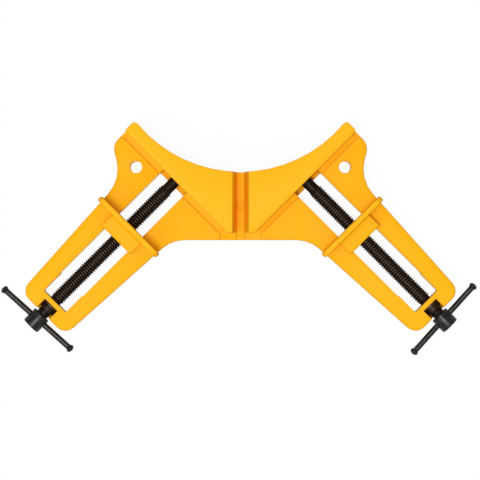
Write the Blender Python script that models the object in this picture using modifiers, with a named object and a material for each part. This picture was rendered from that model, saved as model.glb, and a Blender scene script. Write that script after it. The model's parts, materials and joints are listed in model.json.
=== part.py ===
"""Corner clamp: a die-cast corner frame with two fences at a right angle, and on each arm a jaw
that a captive screw drives towards its fence.

The apex is where the planes of the two fences would meet. The left arm runs along +X from it and
the right arm along +Y, so the frame is its own mirror image across the plane x = y. Outlines of
the frame are drawn for the left arm and swapped for the right one. Pieces of an arm are drawn in
that arm's own axes: u runs along the screw from the fence, v across it and z up from the bench.
"""

import math

import bmesh
import bpy
from mathutils import Matrix, Vector

MM = 0.001

# Screw and its travel
PITCH = 25.4 / 16 * MM
TURNS = 23.25
RUN = TURNS * PITCH
AXIS_OUT = 55.2 * MM
AXIS_UP = 9.0 * MM
THREAD_R = 4.3 * MM
TIP_R = 3.4 * MM
THREAD_START = 7.2 * MM
SCREW_EDGE = 0.6 * MM

# Clearances
GAP = 0.3 * MM
FIT = 0.2 * MM
PAST = 2.0 * MM

# Corner frame: heights and walls
PAD_TOP = 15.0 * MM
FENCE_TOP = 35.0 * MM
RELIEF = 1.0 * MM
RELIEF_SLOPE = 0.6 * MM
WEB = 4.0 * MM
WALL = 3.5 * MM
BLOCK_WALL = 3.2 * MM
RIB = 2.5 * MM
RAIL = 3.0 * MM
RAIL_BOTTOM = 3.6 * MM
EDGE_SOFT = 0.9 * MM
CELL_R = 0.6 * MM
BLOCK_CELL_R = 0.8 * MM
WIDE_CELL_R = 1.5 * MM
CELL_START = 1.0 * MM
SCREW_CELL_HALF = 7.0 * MM
TIP_CELL_LENGTH = 11.0 * MM

# Corner frame: plan
FRONT_SUM = 5.2 * MM
NOSE_SUM = 11.7 * MM
NOSE_R = 2.5 * MM
FENCE_END_R = 1.2 * MM
FRONT_FILLET = 20.0 * MM
REAR_R = 79.4 * MM
BLOCK_AT_SCREW = 14.8 * MM
TIP_CORNER_R = 2.5 * MM
RELIEF_WIDTH = 3.5 * MM
RELIEF_CORNER_R = 4.0 * MM
RELIEF_TUCK = 1.0 * MM
RELIEF_TURN = 2.2 * MM
RELIEF_TURN_R = 1.5 * MM
RELIEF_FLARE = 1.6 * MM
RELIEF_FLARE_R = 6.0 * MM
CHANNEL_TOP_HALF = 4.8 * MM
CHANNEL_FLOOR_HALF = 2.3 * MM
CHANNEL_DEEP = 2.0 * MM
CAST_MARK_R = 2.0 * MM
CAST_MARK_DEEP = 0.4 * MM
CAST_MARK_BACK = 15.5 * MM

# Ear
EAR_REACH = 41.8 * MM
EAR_BROW = 11.3 * MM
EAR_NECK = 21.6 * MM
EAR_NECK_R = 22.3 * MM
EAR_CORNER_R = 8.5 * MM
EAR_HOLE_R = 3.6 * MM
EAR_HOLE_U = 10.6 * MM
EAR_HOLE_OUT = 22.4 * MM
EAR_BOSS = 2.4 * MM
EAR_CELL_R = 3.0 * MM

# Arm
ARM_HALF_WIDE = 22.8 * MM
ARM_HALF_NARROW = 18.5 * MM
ARM_WIDE_U = 36.0 * MM
END_CORNER_R = 7.0 * MM
WINDOW_HEAD = 2.9 * MM
WINDOW_HALF = 9.75 * MM
WINDOW_STEP = 0.5 * MM
WINDOW_CORNER_R = 0.8 * MM
SILL_TOP = 3.0 * MM
END_WALL = 2.9 * MM
RUNOUT = 14.7 * MM
NOTCH_LENGTH = 7.1 * MM
NOTCH_HALF = 5.2 * MM
NOTCH_R = 2.0 * MM
FIRST_RIB_U = 22.0 * MM
ARM_CELLS = 4

# Jaw
JAW_THICK = 3.2 * MM
JAW_HALF = 24.3 * MM
JAW_CORNER_R = 5.0 * MM
JAW_FOOT_R = 0.9 * MM
JAW_EDGE = 0.7 * MM
CARRIAGE_LENGTH = 12.6 * MM
CARRIAGE_HALF = 11.95 * MM
CARRIAGE_TOP = 22.0 * MM
CARRIAGE_FILLET = 2.5 * MM
CARRIAGE_TOP_R = 1.5 * MM
CARRIAGE_FOOT_R = 0.5 * MM
KEEPER_THICK = 2.0 * MM
KEEPER_CORNER_R = 1.2 * MM
GUIDE_INSET = 1.0 * MM
KEEPER_SCREW_R = 1.25 * MM
KEEPER_SCREW_HEAD_R = 2.3 * MM
KEEPER_SCREW_SHIFT = 0.075 * MM
KEEPER_SCREW_DEEP = 8.0 * MM

# Screw head, washer and clip
WASHER_THICK = 1.2 * MM
COLLAR_R = 4.9 * MM
COLLAR_LENGTH = 3.0 * MM
NECK_R = 3.75 * MM
SPIGOT_R = 3.2 * MM
HUB_R = 5.7 * MM
HUB_LENGTH = 9.8 * MM
HUB_STAND_OFF = 1.2 * MM
HUB_EDGE = 0.7 * MM
HUB_PIN_R = 0.8 * MM
HUB_PIN_INSET = 1.9 * MM
CLIP_THICK = 0.8 * MM
CLIP_WIDTH = 1.8 * MM
CLIP_GROOVE = 0.8 * MM
CLIP_MOUTH = math.radians(70)
TIP_PAST_CLIP = 2.6 * MM

# Tommy bar
BAR_R = 1.75 * MM
BAR_LENGTH = 56.0 * MM
BAR_HOLE_R = 2.25 * MM
BAR_HOLE_INSET = 3.8 * MM
BAR_LEAN = math.radians(3)
FLARE_R = 2.5 * MM
FLARE_LENGTH = 3.4 * MM
BALL_SPIGOT_R = 1.1 * MM
BALL_SPIGOT_LENGTH = 2.2 * MM

# Sides of the curves
ARC_STEP = math.radians(15)
REAR_STEPS = 16
TURNED_STEPS = 24
SMALL_STEPS = 16
CLIP_STEPS = 22

# Places that follow from the sizes above
JAW_FRONT = RUN + GAP
CARRIAGE_BACK = JAW_FRONT + CARRIAGE_LENGTH
STEP_U = CARRIAGE_BACK + RUN + GAP
WINDOW_FOOT = STEP_U + RUNOUT
WALL_BACK = WINDOW_FOOT + END_WALL
ARM_END = WALL_BACK + NOTCH_LENGTH
EAR_OUT = AXIS_OUT + EAR_REACH
BODY_FLOOR = PAD_TOP - RELIEF
CHANNEL_FLOOR = PAD_TOP - CHANNEL_DEEP
GUIDE_HALF = WINDOW_HALF - GAP
SCREW_BORE_R = THREAD_R + FIT
TIP_BORE_R = TIP_R + FIT
WASHER_U = WALL_BACK + GAP
COLLAR_U = WASHER_U + WASHER_THICK + GAP
HUB_U = ARM_END + HUB_STAND_OFF
BAR_U = HUB_U + BAR_HOLE_INSET
CLIP_U = -BLOCK_WALL - GAP - CLIP_THICK
TIP_U = CLIP_U - TIP_PAST_CLIP
KEEPER_TOP = RAIL_BOTTOM - GAP
KEEPER_WAY_U = WINDOW_HEAD + 2 * FIT
KEEPER_START = KEEPER_WAY_U + GAP + RUN
KEEPER_LENGTH = CARRIAGE_BACK - KEEPER_START - GAP - FIT
KEEPER_MIDDLE = KEEPER_START + KEEPER_LENGTH / 2
KEEPER_SCREW_OUT = (SCREW_BORE_R + GUIDE_HALF) / 2 - KEEPER_SCREW_SHIFT
TAPER = (ARM_HALF_WIDE - ARM_HALF_NARROW) / (ARM_END - ARM_WIDE_U)
DEPTH_SUM = BLOCK_AT_SCREW + AXIS_OUT
REAR_CENTRE = (
    DEPTH_SUM
    + math.sqrt(DEPTH_SUM**2 - 2 * (BLOCK_AT_SCREW**2 + AXIS_OUT**2 - REAR_R**2))
) / 2

# Material name: colour, roughness, metallic
FINISHES = {
    "powder_coated_yellow": ((0.98, 0.47, 0.018), 0.42, 0.0),
    "black_oxide_steel": ((0.020, 0.014, 0.011), 0.45, 0.8),
    "zinc_steel": ((0.55, 0.55, 0.53), 0.35, 1.0),
}


def clear_scene():
    for obj in list(bpy.data.objects):
        bpy.data.objects.remove(obj, do_unlink=True)


def new_collection(name, hidden=False):
    collection = bpy.data.collections.new(name)
    collection.hide_render = hidden
    bpy.context.scene.collection.children.link(collection)
    return collection


def new_material(name):
    colour, roughness, metallic = FINISHES[name]
    material = bpy.data.materials.new(name)
    material.use_nodes = True
    shader = material.node_tree.nodes["Principled BSDF"]
    shader.inputs["Base Color"].default_value = (*colour, 1)
    shader.inputs["Roughness"].default_value = roughness
    shader.inputs["Metallic"].default_value = metallic
    return material


def new_empty(name, parent=None, location=(0, 0, 0), turn=0):
    empty = bpy.data.objects.new(name, None)
    bpy.context.scene.collection.objects.link(empty)
    empty.parent = parent
    empty.location = location
    empty.rotation_euler = (0, 0, turn)
    return empty


def to_mesh(obj):
    """Makes a curve or an object with modifiers a plain mesh, with its flat faces whole."""
    bpy.context.view_layer.update()
    graph = bpy.context.evaluated_depsgraph_get()
    mesh = bpy.data.meshes.new_from_object(obj.evaluated_get(graph))
    shape = bmesh.new()
    shape.from_mesh(mesh)
    bmesh.ops.remove_doubles(shape, verts=shape.verts, dist=1e-6)
    bmesh.ops.dissolve_limit(
        shape, angle_limit=math.radians(0.1), verts=shape.verts, edges=shape.edges
    )
    shape.to_mesh(mesh)
    shape.free()
    new = bpy.data.objects.new(obj.name, mesh)
    new.matrix_world = obj.matrix_world
    bpy.context.scene.collection.objects.link(new)
    name = obj.name
    bpy.data.objects.remove(obj, do_unlink=True)
    new.name = name
    return new


def rounded(corners):
    """An outline from corners (x, y, radius), each turned into an arc that meets both its sides."""
    points = []
    for k, (x, y, radius) in enumerate(corners):
        corner = Vector((x, y))
        if radius == 0:
            points.append(corner)
            continue
        before = (Vector(corners[k - 1][:2]) - corner).normalized()
        after = (Vector(corners[(k + 1) % len(corners)][:2]) - corner).normalized()
        half = before.angle(after) / 2
        middle = corner + (before + after).normalized() * radius / math.sin(half)
        start = corner + before * radius / math.tan(half) - middle
        sweep = start.angle_signed(corner + after * radius / math.tan(half) - middle)
        steps = max(2, math.ceil(abs(sweep) / ARC_STEP))
        for step in range(steps + 1):
            points.append(middle + Matrix.Rotation(-sweep * step / steps, 2) @ start)
    return points


def swapped(corners):
    """The same outline for the other arm."""
    return [(corner[1], corner[0], *corner[2:]) for corner in reversed(corners)]


def prism(name, outline, low, high, soft=0.0):
    """A flat outline raised from low to high. soft rounds the edge round its top."""
    curve = bpy.data.curves.new(name, "CURVE")
    curve.dimensions = "2D"
    curve.fill_mode = "BOTH"
    curve.extrude = (high - low) / 2
    spline = curve.splines.new("POLY")
    spline.points.add(len(outline) - 1)
    for point, place in zip(spline.points, outline):
        point.co = (place[0], place[1], 0, 1)
    spline.use_cyclic_u = True
    obj = bpy.data.objects.new(name, curve)
    bpy.context.scene.collection.objects.link(obj)
    obj = to_mesh(obj)
    obj.data.transform(Matrix.Translation((0, 0, (low + high) / 2)))
    if soft:
        soften_top(obj.data, high, soft)
    return obj


def soften_top(mesh, high, soft):
    shape = bmesh.new()
    shape.from_mesh(mesh)
    rim = [
        edge
        for edge in shape.edges
        if all(abs(vert.co.z - high) < 1e-6 for vert in edge.verts)
    ]
    bmesh.ops.bevel(
        shape, geom=rim, offset=soft, segments=2, affect="EDGES", profile=0.5, clamp_overlap=True
    )
    shape.to_mesh(mesh)
    shape.free()


def block(name, low, high):
    """A plain box between two corners."""
    shape = bmesh.new()
    bmesh.ops.create_cube(shape, size=1)
    middle = [(a + b) / 2 for a, b in zip(low, high)]
    size = [b - a for a, b in zip(low, high)]
    shape.transform(Matrix.Translation(middle) @ Matrix.Diagonal((*size, 1)))
    return from_bmesh(name, shape)


def rod(name, radius, low, high, steps=TURNED_STEPS):
    """A plain cylinder along Z, turned so that a flat side and not a corner faces along X."""
    shape = bmesh.new()
    bmesh.ops.create_cone(
        shape, cap_ends=True, segments=steps, radius1=radius, radius2=radius, depth=high - low
    )
    shape.transform(Matrix.Rotation(math.pi / steps, 4, "Z"))
    shape.transform(Matrix.Translation((0, 0, (low + high) / 2)))
    return from_bmesh(name, shape)


def from_bmesh(name, shape):
    mesh = bpy.data.meshes.new(name)
    shape.to_mesh(mesh)
    shape.free()
    obj = bpy.data.objects.new(name, mesh)
    bpy.context.scene.collection.objects.link(obj)
    return obj


def turned(name, profile, steps=TURNED_STEPS):
    """Turns a profile of (radius, height), listed from the top down, about Z."""
    shape = bmesh.new()
    verts = [shape.verts.new((radius, 0, height)) for radius, height in profile]
    closed = profile[0][0] > 0
    for k in range(len(verts) - (0 if closed else 1)):
        shape.edges.new((verts[k], verts[(k + 1) % len(verts)]))
    obj = from_bmesh(name, shape)
    screw = obj.modifiers.new("Turn", "SCREW")
    screw.steps = screw.render_steps = steps
    screw.use_merge_vertices = True
    screw.merge_threshold = 1e-6
    return obj


def aim(obj, direction, at=(0, 0, 0)):
    """Lays an object's Z axis along a direction, at a place in its parent's axes."""
    obj.rotation_mode = "QUATERNION"
    obj.rotation_quaternion = Vector(direction).to_track_quat("Z", "Y")
    obj.location = at


def helper(obj, parent=None):
    """Marks an object as a cutter or a joined piece, which isn't part of the clamp itself."""
    for collection in list(obj.users_collection):
        collection.objects.unlink(obj)
    cutters.objects.link(obj)
    obj.hide_render = True
    obj.display_type = "WIRE"
    if parent:
        obj.parent = parent
    return obj


def boolean(obj, other, operation):
    modifier = obj.modifiers.new(other.name, "BOOLEAN")
    modifier.operation = operation
    modifier.object = other


def cut(obj, other, parent=None):
    boolean(obj, helper(other, parent), "DIFFERENCE")


def join(obj, other, parent=None):
    boolean(obj, helper(other, parent), "UNION")


def finish(obj, material, parent):
    """Gives a piece its material, its parent and its place among the clamp's pieces."""
    for collection in list(obj.users_collection):
        collection.objects.unlink(obj)
    clamp.objects.link(obj)
    obj.parent = parent
    obj.data.materials.clear()
    obj.data.materials.append(materials[material])
    obj.data.shade_smooth()
    obj.data.set_sharp_from_angle(angle=math.radians(35))
    return obj


def arm_half(u):
    """Half the width of the arm at u: its outer sides taper evenly to the end."""
    return ARM_HALF_WIDE - TAPER * (u - ARM_WIDE_U)


def rear_x(y, wall=0.0):
    """Where the block's hollow rear arc, moved inwards by a wall, crosses a line of constant y."""
    return math.sqrt((REAR_R + wall) ** 2 - (y + REAR_CENTRE) ** 2) - REAR_CENTRE


def rear_arc():
    """The block's rear arc, from the left arm's tip to the right arm's."""
    x = rear_x(-EAR_OUT)
    start = math.atan2(-EAR_OUT + REAR_CENTRE, x + REAR_CENTRE)
    sweep = math.radians(90) - 2 * start
    inset = TIP_CORNER_R / REAR_R
    points = []
    for k in range(REAR_STEPS + 1):
        angle = start + inset + (sweep - 2 * inset) * k / REAR_STEPS
        points.append(
            (
                REAR_R * math.cos(angle) - REAR_CENTRE,
                REAR_R * math.sin(angle) - REAR_CENTRE,
                0,
            )
        )
    return points


def plate_corners():
    """The left half of the plate, from the front edge round the arm and the ear into the block."""
    neck_out = -AXIS_OUT - arm_half(EAR_NECK)
    slope = (arm_half(0) - arm_half(ARM_END)) / ARM_END
    inner_0 = -AXIS_OUT + arm_half(0)
    front_x = (-FRONT_SUM - inner_0) / (1 - slope)
    inside = -BLOCK_WALL
    return [
        (front_x, -FRONT_SUM - front_x, FRONT_FILLET),
        (ARM_END, -AXIS_OUT + arm_half(ARM_END), END_CORNER_R),
        (ARM_END, -AXIS_OUT - arm_half(ARM_END), END_CORNER_R),
        (EAR_NECK, neck_out, EAR_NECK_R),
        (EAR_BROW, -EAR_OUT, EAR_CORNER_R),
        (inside, -EAR_OUT, 0),
        (inside, 2 * inside - NOSE_SUM, 0),
    ]


def block_corners():
    """The raised block: two fences, the nose between them and the hollow arc behind."""
    tip = (rear_x(-EAR_OUT), -EAR_OUT, TIP_CORNER_R)
    left = [
        (0, -NOSE_SUM, NOSE_R),
        (0, -EAR_OUT, FENCE_END_R),
        tip,
    ]
    return left + rear_arc() + swapped(left)


def relief_corners():
    """The strip in front of the fences, which opens at the nose towards the front edge."""
    head = AXIS_OUT - WINDOW_HALF + RELIEF_TUCK
    foot = AXIS_OUT + WINDOW_HALF - RELIEF_TUCK
    turn_y = -NOSE_SUM - RELIEF_TURN
    out = FRONT_SUM
    left = [
        (RELIEF_WIDTH + out, turn_y + out, 0),
        (RELIEF_WIDTH, turn_y, RELIEF_TURN_R),
        (RELIEF_WIDTH, -head, RELIEF_CORNER_R),
        (RELIEF_WIDTH + WINDOW_HALF, -head, 0),
        (RELIEF_WIDTH + WINDOW_HALF, -foot, 0),
        (RELIEF_WIDTH, -foot, RELIEF_CORNER_R),
        (RELIEF_WIDTH, -EAR_OUT + RELIEF_FLARE, RELIEF_FLARE_R),
        (RELIEF_WIDTH + 2 * PAST, -EAR_OUT + RELIEF_FLARE - 2 * PAST, 0),
        (-BLOCK_WALL / 2, -EAR_OUT + RELIEF_FLARE - 2 * PAST, 0),
        (-BLOCK_WALL / 2, -NOSE_SUM - BLOCK_WALL, 0),
    ]
    return left + swapped(left)


def both_arms(name, corners, low, high):
    """The same prism for the left arm and, swapped, for the right one."""
    return [
        prism(f"left_{name}", rounded(corners), low, high),
        prism(f"right_{name}", rounded(swapped(corners)), low, high),
    ]


def arm_cell_corners(start, end, side):
    """The hollow under one side of the arm between two ribs. side is 1 inside, -1 outside."""
    near = WINDOW_HALF + RAIL
    corners = [
        (start, -AXIS_OUT + side * near, CELL_R),
        (end, -AXIS_OUT + side * near, CELL_R),
        (end, -AXIS_OUT + side * (arm_half(end) - WALL), CELL_R),
        (start, -AXIS_OUT + side * (arm_half(start) - WALL), CELL_R),
    ]
    return corners if side > 0 else corners[::-1]


def corner_cell_corners():
    """The hollow between the fence, the window and the front edge."""
    near = -AXIS_OUT + WINDOW_HALF + RAIL
    inset = FRONT_SUM + WALL * math.sqrt(2)
    return [
        (CELL_START, near, WIDE_CELL_R),
        (FIRST_RIB_U, near, WIDE_CELL_R),
        (FIRST_RIB_U, -inset - FIRST_RIB_U, WIDE_CELL_R),
        (CELL_START, -inset - CELL_START, WIDE_CELL_R),
    ]


def ear_cell_corners():
    """The hollow under the ear, which follows its outline one wall inside."""
    near = -AXIS_OUT - WINDOW_HALF - RAIL
    run = EAR_NECK - EAR_BROW
    rise = EAR_OUT - AXIS_OUT - arm_half(EAR_NECK)
    shift = WALL * math.hypot(run, rise) / rise
    far = -EAR_OUT + WALL
    side_y = -AXIS_OUT - arm_half(EAR_NECK) - (EAR_NECK - shift - FIRST_RIB_U) * rise / run
    return [
        (CELL_START, far, WIDE_CELL_R),
        (EAR_BROW - shift + WALL * run / rise, far, EAR_CELL_R),
        (FIRST_RIB_U, side_y, WIDE_CELL_R),
        (FIRST_RIB_U, near, WIDE_CELL_R),
        (CELL_START, near, WIDE_CELL_R),
    ]


def block_cell_corners(start, end):
    """A hollow of the block between two ribs, from the fence's wall to the rear arc's wall."""
    corners = [(-BLOCK_WALL, -start, BLOCK_CELL_R), (-BLOCK_WALL, -end, BLOCK_CELL_R)]
    steps = 5
    for k in range(steps + 1):
        y = -end + (end - start) * k / steps
        corners.append((rear_x(y, BLOCK_WALL), y, 0))
    return corners[::-1]


def nose_cell_corners(start):
    """The hollow of the block beside the centre channel."""
    beside = (CHANNEL_TOP_HALF + BLOCK_WALL) * math.sqrt(2)
    reach = (REAR_R + BLOCK_WALL) ** 2 / 2 - beside**2 / 4
    middle = math.sqrt(reach) - REAR_CENTRE
    end = middle - beside / 2
    corners = [
        (-BLOCK_WALL, -start, BLOCK_CELL_R),
        (-BLOCK_WALL, -BLOCK_WALL - beside, WIDE_CELL_R),
        (middle + beside / 2, end, BLOCK_CELL_R),
    ]
    steps = 4
    for k in range(1, steps + 1):
        y = end + (-start - end) * k / steps
        corners.append((rear_x(y, BLOCK_WALL), y, 0))
    return corners


def make_channel():
    """The tapered groove across the block on the line between the fences."""
    outline = [
        (-CHANNEL_FLOOR_HALF, CHANNEL_FLOOR),
        (CHANNEL_FLOOR_HALF, CHANNEL_FLOOR),
        (CHANNEL_TOP_HALF, FENCE_TOP),
        (CHANNEL_TOP_HALF, FENCE_TOP + PAST),
        (-CHANNEL_TOP_HALF, FENCE_TOP + PAST),
        (-CHANNEL_TOP_HALF, FENCE_TOP),
    ]
    length = REAR_CENTRE * math.sqrt(2) - REAR_R + PAST
    channel = prism("channel", outline, 0, length)
    channel.rotation_euler = (math.radians(90), 0, math.radians(-45))
    return channel


def make_corner_frame(root):
    """The one casting that carries everything: block, fences, ears and the two slotted arms."""
    half = plate_corners()
    frame = prism("corner_frame", rounded(half + swapped(half)), 0, PAD_TOP, EDGE_SOFT)
    relief = rounded(relief_corners())
    cut(frame, prism("relief", relief, BODY_FLOOR, PAD_TOP + PAST), root)
    join_relief_slopes(frame, root)
    for name, arm in arms.items():
        sill = block(
            f"{name}_sill",
            (-BLOCK_WALL / 2, -WINDOW_HALF, SILL_TOP),
            (WINDOW_HEAD + PAST, WINDOW_HALF, PAD_TOP + PAST),
        )
        cut(frame, sill, arm)
    join(frame, prism("block", rounded(block_corners()), 0, FENCE_TOP, EDGE_SOFT), root)
    cut(frame, make_channel(), root)
    mark = rod("casting_mark", CAST_MARK_R, CHANNEL_FLOOR - CAST_MARK_DEEP, PAD_TOP, SMALL_STEPS)
    place = -NOSE_SUM / 2 - CAST_MARK_BACK / math.sqrt(2)
    mark.location = (place, place, 0)
    cut(frame, mark, root)
    cut_cells(frame, root)
    for name, arm in arms.items():
        cut_arm(frame, name, arm, outward[name])
    return finish(frame, "powder_coated_yellow", root)


def join_relief_slopes(frame, root):
    """The floor of the strip in front of a fence falls away from the fence's foot."""
    section = [
        (-BLOCK_WALL / 2, BODY_FLOOR - WEB / 4),
        (2 * RELIEF_WIDTH, BODY_FLOOR - WEB / 4),
        (2 * RELIEF_WIDTH, BODY_FLOOR - RELIEF_SLOPE),
        (0, BODY_FLOOR + RELIEF_SLOPE),
        (-BLOCK_WALL / 2, BODY_FLOOR + RELIEF_SLOPE),
    ]
    near = NOSE_SUM + RELIEF_WIDTH - AXIS_OUT
    far = EAR_REACH - TIP_CORNER_R
    for name, arm in arms.items():
        slope = prism(f"{name}_relief_slope", section, near, far)
        slope.rotation_euler = (math.radians(90), 0, 0)
        if name == "right":
            slope.data.transform(Matrix.Scale(-1, 4, (0, 0, 1)))
            slope.data.flip_normals()
        join(frame, slope, arm)


def cut_cells(frame, root):
    """The casting is open below: hollows between thin walls and ribs."""
    web_bottom = BODY_FLOOR - WEB + RELIEF
    skin_bottom = FENCE_TOP - WEB
    first = FIRST_RIB_U + RIB
    pitch = (WINDOW_FOOT + RIB - first) / ARM_CELLS
    low = []
    for k in range(ARM_CELLS):
        start = first + k * pitch
        for word, side in (("inner", 1), ("outer", -1)):
            corners = arm_cell_corners(start, start + pitch - RIB, side)
            low += both_arms(f"{word}_cell_{k + 1}", corners, -PAST, web_bottom)
    low += both_arms("corner_cell", corner_cell_corners(), -PAST, web_bottom)
    low += both_arms("ear_cell", ear_cell_corners(), -PAST, web_bottom)
    inner, outer = AXIS_OUT - SCREW_CELL_HALF, AXIS_OUT + SCREW_CELL_HALF
    tall = both_arms("screw_cell", block_cell_corners(inner, outer), -PAST, skin_bottom)
    corners = block_cell_corners(outer + RIB, outer + RIB + TIP_CELL_LENGTH)
    tall += both_arms("tip_cell", corners, -PAST, skin_bottom)
    tall += both_arms("nose_cell", nose_cell_corners(inner - RIB), -PAST, skin_bottom)
    half = CHANNEL_TOP_HALF / math.sqrt(2)
    rear = (REAR_R + BLOCK_WALL) / math.sqrt(2) - REAR_CENTRE
    front = (-NOSE_SUM + WALL) / 2
    under = [
        (rear - half, rear + half, BLOCK_CELL_R),
        (rear + half, rear - half, BLOCK_CELL_R),
        (front + half, front - half, BLOCK_CELL_R),
        (front - half, front + half, BLOCK_CELL_R),
    ]
    low.append(prism("channel_cell", rounded(under), -PAST, CHANNEL_FLOOR - WEB))
    for cell in low + tall:
        cut(frame, cell, root)


def cut_arm(frame, name, arm, out):
    """The window with its step, the bores of the screw, the notch of its collar and the ear."""
    narrow = WINDOW_HALF - WINDOW_STEP
    half = [
        (WINDOW_HEAD, WINDOW_HALF, WINDOW_CORNER_R),
        (WINDOW_HEAD, -WINDOW_HALF, WINDOW_CORNER_R),
        (STEP_U, -WINDOW_HALF, 0),
        (STEP_U + 2 * WINDOW_STEP, -narrow, 0),
        (WINDOW_FOOT, -narrow, WINDOW_CORNER_R),
        (WINDOW_FOOT, narrow, WINDOW_CORNER_R),
        (STEP_U + 2 * WINDOW_STEP, narrow, 0),
        (STEP_U, WINDOW_HALF, 0),
    ]
    cut(frame, prism(f"{name}_window", rounded(half), -PAST, PAD_TOP + PAST), arm)
    under = block(
        f"{name}_keeper_way",
        (KEEPER_WAY_U, -WINDOW_HALF - RAIL - RIB / 2, -PAST),
        (STEP_U, WINDOW_HALF + RAIL + RIB / 2, RAIL_BOTTOM),
    )
    cut(frame, under, arm)
    tip_bore = rod(f"{name}_tip_bore", TIP_BORE_R, -BLOCK_WALL - PAST / 2, PAST / 2)
    aim(tip_bore, (1, 0, 0), (0, 0, AXIS_UP))
    cut(frame, tip_bore, arm)
    end_bore = rod(f"{name}_end_bore", SCREW_BORE_R, WINDOW_FOOT - PAST, WALL_BACK + PAST)
    aim(end_bore, (1, 0, 0), (0, 0, AXIS_UP))
    cut(frame, end_bore, arm)
    notch = [
        (-NOTCH_HALF, PAD_TOP + PAST, 0),
        (-NOTCH_HALF, AXIS_UP - NOTCH_HALF, NOTCH_R),
        (NOTCH_HALF, AXIS_UP - NOTCH_HALF, NOTCH_R),
        (NOTCH_HALF, PAD_TOP + PAST, 0),
    ]
    pocket = prism(f"{name}_notch", rounded(notch), WALL_BACK, ARM_END + PAST)
    pocket.rotation_euler = (math.radians(90), 0, math.radians(90))
    cut(frame, pocket, arm)
    boss = rod(f"{name}_ear_boss", EAR_HOLE_R + EAR_BOSS, 0, PAD_TOP - WEB / 2)
    boss.location = (EAR_HOLE_U, out * EAR_HOLE_OUT, 0)
    join(frame, boss, arm)
    hole = rod(f"{name}_ear_hole", EAR_HOLE_R, -PAST, PAD_TOP + PAST)
    hole.location = (EAR_HOLE_U, out * EAR_HOLE_OUT, 0)
    cut(frame, hole, arm)


def make_jaw(name, arm):
    """The sliding jaw: an upright plate, the carriage behind it and the guide in the window."""
    face = [
        (-JAW_HALF, PAD_TOP + GAP, JAW_FOOT_R),
        (JAW_HALF, PAD_TOP + GAP, JAW_FOOT_R),
        (JAW_HALF, FENCE_TOP, JAW_CORNER_R),
        (-JAW_HALF, FENCE_TOP, JAW_CORNER_R),
    ]
    jaw = prism(f"{name}_jaw", rounded(face), 0, JAW_THICK)
    soften_rim(jaw.data, JAW_EDGE)
    stand = Matrix.Translation((JAW_FRONT, 0, 0)) @ Matrix(
        ((0, 0, 1, 0), (1, 0, 0, 0), (0, 1, 0, 0), (0, 0, 0, 1))
    )
    jaw.data.transform(stand)
    inside = JAW_FRONT + JAW_THICK / 2
    low = PAD_TOP + GAP
    carriage = [
        (inside, low, 0),
        (CARRIAGE_BACK, low, CARRIAGE_FOOT_R),
        (CARRIAGE_BACK, CARRIAGE_TOP, CARRIAGE_TOP_R),
        (JAW_FRONT + JAW_THICK, CARRIAGE_TOP, CARRIAGE_FILLET),
        (JAW_FRONT + JAW_THICK, CARRIAGE_TOP + 2 * CARRIAGE_FILLET, 0),
        (inside, CARRIAGE_TOP + 2 * CARRIAGE_FILLET, 0),
    ]
    body = prism(f"{name}_carriage", rounded(carriage), -CARRIAGE_HALF, CARRIAGE_HALF)
    body.rotation_euler = (math.radians(90), 0, 0)
    join(jaw, body, arm)
    guide = block(
        f"{name}_guide",
        (JAW_FRONT + GUIDE_INSET, -GUIDE_HALF, RAIL_BOTTOM),
        (CARRIAGE_BACK, GUIDE_HALF, low + WEB / 2),
    )
    join(jaw, guide, arm)
    bore = rod(f"{name}_nut_thread", SCREW_BORE_R, JAW_FRONT - PAST, CARRIAGE_BACK + PAST)
    aim(bore, (1, 0, 0), (0, 0, AXIS_UP))
    cut(jaw, bore, arm)
    for k, side in enumerate((-1, 1)):
        hole = rod(
            f"{name}_keeper_hole_{k + 1}",
            KEEPER_SCREW_R + FIT,
            0,
            KEEPER_TOP + KEEPER_SCREW_DEEP + FIT,
            SMALL_STEPS,
        )
        hole.location = (KEEPER_MIDDLE, side * KEEPER_SCREW_OUT, 0)
        cut(jaw, hole, arm)
    return finish(jaw, "powder_coated_yellow", arm)


def soften_rim(mesh, soft):
    """Rounds every edge between a flat side and the rim of a prism."""
    shape = bmesh.new()
    shape.from_mesh(mesh)
    shape.normal_update()
    rim = [
        edge
        for edge in shape.edges
        if abs(abs(edge.link_faces[0].normal.z) - abs(edge.link_faces[1].normal.z)) > 0.5
    ]
    bmesh.ops.bevel(
        shape, geom=rim, offset=soft, segments=2, affect="EDGES", profile=0.5, clamp_overlap=True
    )
    shape.to_mesh(mesh)
    shape.free()


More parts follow.
